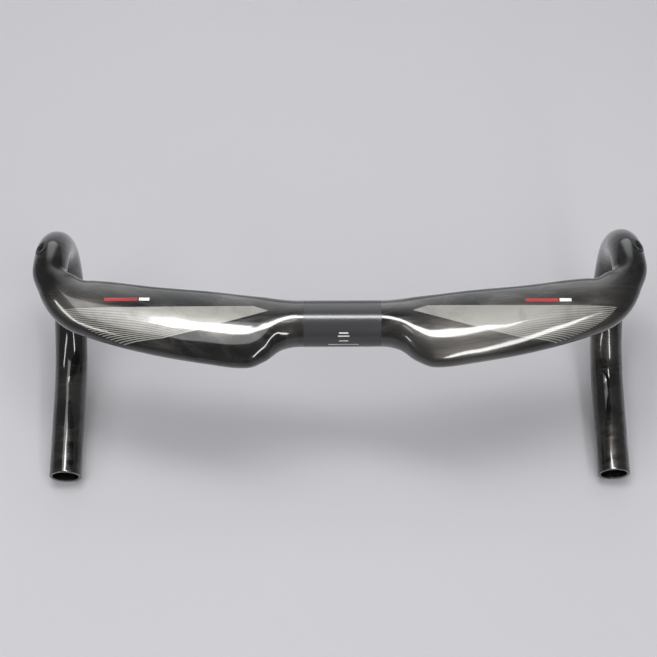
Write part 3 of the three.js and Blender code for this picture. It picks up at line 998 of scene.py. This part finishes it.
class HANDLEBAR_OT_prints(PieceOperator, bpy.types.Operator):
    """Builds the printed films: panels that split into pinstripes, and the small colour bars"""
    bl_idname = "handlebar.prints"
    bl_label = "Printed films"

    def execute(self, context):
        sizes = context.scene.bar_sizes
        thick, wave = sizes.print_thickness / MM, sizes.ripple / MM
        lift = sizes.print_height / MM - LACQUER_INSET
        count = sizes.stripes
        sheets = []
        share = np.linspace(PANEL_START, 1, PANEL_ROWS)[:, None]
        for stripe in range(count):
            near, far = stripe / count, (stripe + 1) / count
            split = SPLIT_FRONT + (SPLIT_REAR - SPLIT_FRONT) * (near + far) / 2
            opening = np.clip((share - split) / (1 - split), 0, 1) ** GAP_POWER
            margin = (far - near) * (1 - sizes.stripe_share) / 2 * opening
            middle = np.full_like(margin, (near + far) / 2)
            across = np.stack([near + margin, middle, far - margin], -1)[:, 0]
            plan = panel_plan(share, across)
            sheets.append(on_top(plan[..., 0], plan[..., 1], lift, wave))
        for name, side in SIDES:
            panel = film(f"{name}_panel", side, sheets, thick, material_for("silver_ink"))
            settle(panel, "silver_print", f"{name}_panel_transfer")
            centre, red, white = FLASHES[name]
            for title, (first, last) in (("red", red), ("white", white)):
                x = np.linspace(first, last, FLASH_GRID[0])[:, None]
                half = FLASH_DEPTH / 2
                y = centre + np.linspace(-half, half, FLASH_GRID[1])[None, :]
                sheet = on_top(x, y, lift, wave)
                bar = film(f"{name}_{title}_bar", side, [sheet], thick, material_for(f"{title}_ink"))
                settle(bar, f"{title}_print", f"{name}_{title}_transfer")
        return {"FINISHED"}


# Camera: its distance from the bar, elevation, small turns, aim and lens
CAMERA_DISTANCE = 1.1526
CAMERA_ELEVATION = math.radians(61.7)
CAMERA_YAW = math.radians(0.43)
CAMERA_ROLL = math.radians(0.12)
CAMERA_AIM = (-0.0081, -0.0033)
CAMERA_SENSOR, CAMERA_LENS = 36, 93.15

# Floor: its gap below the bar, half its side, its points each way
FLOOR_DROP, FLOOR_REACH, FLOOR_POINTS = 0.0006, 4, 9

# Softboxes: name, centre, direction that the first side runs, sides, strength in watts
SOFTBOXES = (
    ("overhead", (0.0, 0.13, 1.34), (0.95, -0.28, 0), (0.74, 0.27), 13),
    ("ceiling", (-0.40, 0.03, 1.46), (1, 0, 0), (0.66, 0.94), 6),
    ("right_strip", (0.58, -0.98, 1.08), (0.32, 1.10, 0.85), (1.45, 0.14), 11),
    ("left_strip", (-0.95, -0.50, 0.76), (0.39, -0.87, -0.08), (0.95, 0.16), 5),
)
# A broad fill that brightens the floor and the matt surfaces, and isn't mirrored in the lacquer
FILL_HEIGHT, FILL_SIDE, FILL_POWER = 2.4, 3.2, 80
WORLD_GREY = (0.96, 0.98, 1.0)
WORLD_DIM, WORLD_BRIGHT = 0.28, 2.0
# The surroundings brighten between these parts of a direction ahead, and fade between these aside
BRIGHT_AHEAD, BRIGHT_ASIDE = (0.35, 0.95), (0.42, 0.12)


def add_lamp(name, power, size, size_y, place):
    """A rectangular softbox that faces along the -Z axis of its placement."""
    data = bpy.data.lights.new(name, "AREA")
    data.shape, data.size, data.size_y, data.energy = "RECTANGLE", size, size_y, power
    lamp = bpy.data.objects.new(name, data)
    lamp.matrix_world = place
    bpy.context.scene.collection.objects.link(lamp)
    return lamp


def placed(centre, right, up, back):
    """Placement of a lamp or camera at a centre from its three axes."""
    return Matrix.Translation(centre) @ Matrix((right, up, back)).transposed().to_4x4()


class HANDLEBAR_OT_stage(PieceOperator, bpy.types.Operator):
    """Builds the pale floor, the softboxes, the surrounding light and the camera"""
    bl_idname = "handlebar.stage"
    bl_label = "Stage"

    def execute(self, context):
        scene = context.scene
        level = cad_box[0][2] - FLOOR_DROP
        reach = np.linspace(-FLOOR_REACH, FLOOR_REACH, FLOOR_POINTS)
        x, y = np.meshgrid(reach, reach, indexing="ij")
        points = np.stack([x, y, np.full_like(x, level)], -1).reshape(-1, 3)
        mesh = bpy.data.meshes.new("floor")
        mesh.from_pydata(points, [], sheet_faces(*x.shape)[:, ::-1])
        floor = shaded("floor", mesh, material_for("paper"))

        world = bpy.data.worlds.new("surroundings")
        world.use_nodes = True
        background = world.node_tree.nodes["Background"]
        background.inputs["Color"].default_value = (*WORLD_GREY, 1)
        tree = world.node_tree
        direction = node(tree, "ShaderNodeTexCoord").outputs["Generated"]
        parts = node(tree, "ShaderNodeSeparateXYZ", {"Vector": direction}).outputs
        aside = maths(tree, "ABSOLUTE", parts["X"], 0.0)
        ahead = maths(tree, "MULTIPLY", limits(tree, parts["Y"], *BRIGHT_AHEAD),
                      limits(tree, aside, *BRIGHT_ASIDE))
        strength = limits(tree, ahead, 0, 1, WORLD_DIM, WORLD_BRIGHT, smooth=False)
        tree.links.new(strength, background.inputs["Strength"])
        scene.world = world
        scene.view_settings.view_transform = "Standard"

        for name, centre, run, (long_side, short_side), power in SOFTBOXES:
            back = Vector(centre).normalized()
            right = Vector(run)
            right = (right - right.dot(back) * back).normalized()
            place = placed(centre, right, back.cross(right), back)
            add_lamp(name, power, long_side, short_side, place)
        place = Matrix.Translation((0, 0, FILL_HEIGHT))
        fill = add_lamp("fill", FILL_POWER, FILL_SIDE, FILL_SIDE, place)
        fill.visible_glossy = False

        c, s = math.cos(CAMERA_YAW), math.sin(CAMERA_YAW)
        level_right, level_ahead = Vector((c, -s, 0)), Vector((s, c, 0))
        rise, fall = math.sin(CAMERA_ELEVATION), math.cos(CAMERA_ELEVATION)
        back = -fall * level_ahead + rise * Vector((0, 0, 1))
        view_up = rise * level_ahead + fall * Vector((0, 0, 1))
        c, s = math.cos(CAMERA_ROLL), math.sin(CAMERA_ROLL)
        right, up = c * level_right + s * view_up, c * view_up - s * level_right
        place = CAMERA_DISTANCE * back + CAMERA_AIM[0] * right + CAMERA_AIM[1] * up
        data = bpy.data.cameras.new("camera")
        data.sensor_width, data.lens = CAMERA_SENSOR, CAMERA_LENS
        camera = bpy.data.objects.new("camera", data)
        camera.matrix_world = placed(place, right, up, back)
        scene.collection.objects.link(camera)
        bpy.context.scene.camera = camera
        return {"FINISHED"}


class HANDLEBAR_PT_panel(bpy.types.Panel):
    """Lists the handlebar's settings and its building steps"""
    bl_label = "Drop handlebar"
    bl_idname = "HANDLEBAR_PT_panel"
    bl_space_type = "VIEW_3D"
    bl_region_type = "UI"
    bl_category = "Handlebar"

    def draw(self, context):
        for group in (context.scene.bar_sizes, context.scene.bar_colours):
            for name in group.__annotations__:
                self.layout.prop(group, name)
        for step in STEPS:
            self.layout.operator(step.bl_idname)


STEPS = (HANDLEBAR_OT_stage, HANDLEBAR_OT_clamp, HANDLEBAR_OT_wings, HANDLEBAR_OT_drops,
         HANDLEBAR_OT_ports, HANDLEBAR_OT_prints)
CLASSES = (BarSizes, BarColours, *STEPS, HANDLEBAR_PT_panel)


def register():
    for made in CLASSES:
        bpy.utils.register_class(made)
    bpy.types.Scene.bar_sizes = PointerProperty(type=BarSizes)
    bpy.types.Scene.bar_colours = PointerProperty(type=BarColours)


def unregister():
    del bpy.types.Scene.bar_colours
    del bpy.types.Scene.bar_sizes
    for made in reversed(CLASSES):
        bpy.utils.unregister_class(made)


def main():
    register()
    for step in STEPS:
        group, name = step.bl_idname.split(".")
        getattr(getattr(bpy.ops, group), name)()


if __name__ == "__main__":
    main()
